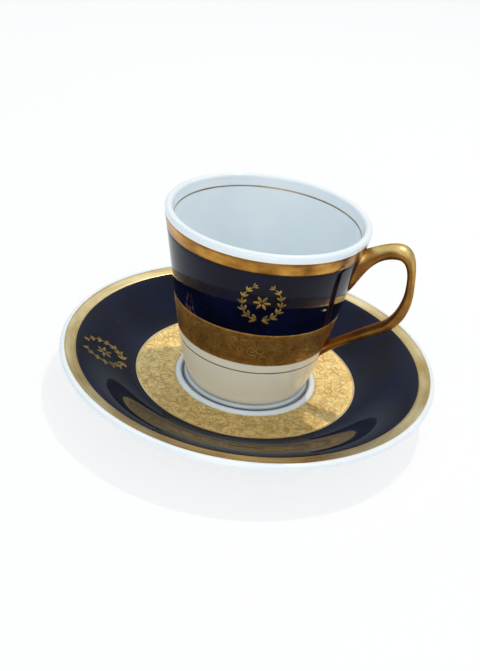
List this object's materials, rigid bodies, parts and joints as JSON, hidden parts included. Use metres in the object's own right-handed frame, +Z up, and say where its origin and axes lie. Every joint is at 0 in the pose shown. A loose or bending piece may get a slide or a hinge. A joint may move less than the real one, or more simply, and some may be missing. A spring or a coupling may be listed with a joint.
{
  "type": "coffee cup with saucer",
  "caption": "Tapered porcelain coffee cup with a gilt strap handle and cobalt and etched gold bands, standing in the well of a matching saucer that it lifts off.",
  "frame": {"origin": "centre of the saucer's foot ring, on the surface that it stands on", "axes": "+Z up along the axis of the cup and saucer, +X from the axis towards the handle"},
  "size_m": [0.1214, 0.1214, 0.0633],
  "materials": {
    "porcelain": "clear gloss glaze over white porcelain",
    "cobalt_glaze": "deep cobalt under a mirror gloss glaze",
    "burnished_gold": "polished gilding",
    "handle_gold": "polished gilding all over the porcelain strap",
    "etched_gold": "gilding over a finely etched scroll ground, satin"
  },
  "bodies": {
    "saucer": {"saucer_body": "porcelain", "saucer_rim_band": "burnished_gold", "saucer_cobalt_band": "cobalt_glaze", "saucer_edge_line": "burnished_gold", "saucer_etched_band": "etched_gold"},
    "cup": {"cup_body": "porcelain", "cup_handle": "handle_gold", "cup_rim_band": "burnished_gold", "cup_cobalt_band": "cobalt_glaze", "cup_etched_band": "etched_gold", "cup_foot_line": "burnished_gold", "cup_inner_line": "burnished_gold"}
  },
  "joints": [
    {"name": "cup_lift", "type": "slide", "parent": "saucer", "child": "cup", "axis": [0, 0, 1], "range_m": [0, 0.1]}
  ]
}
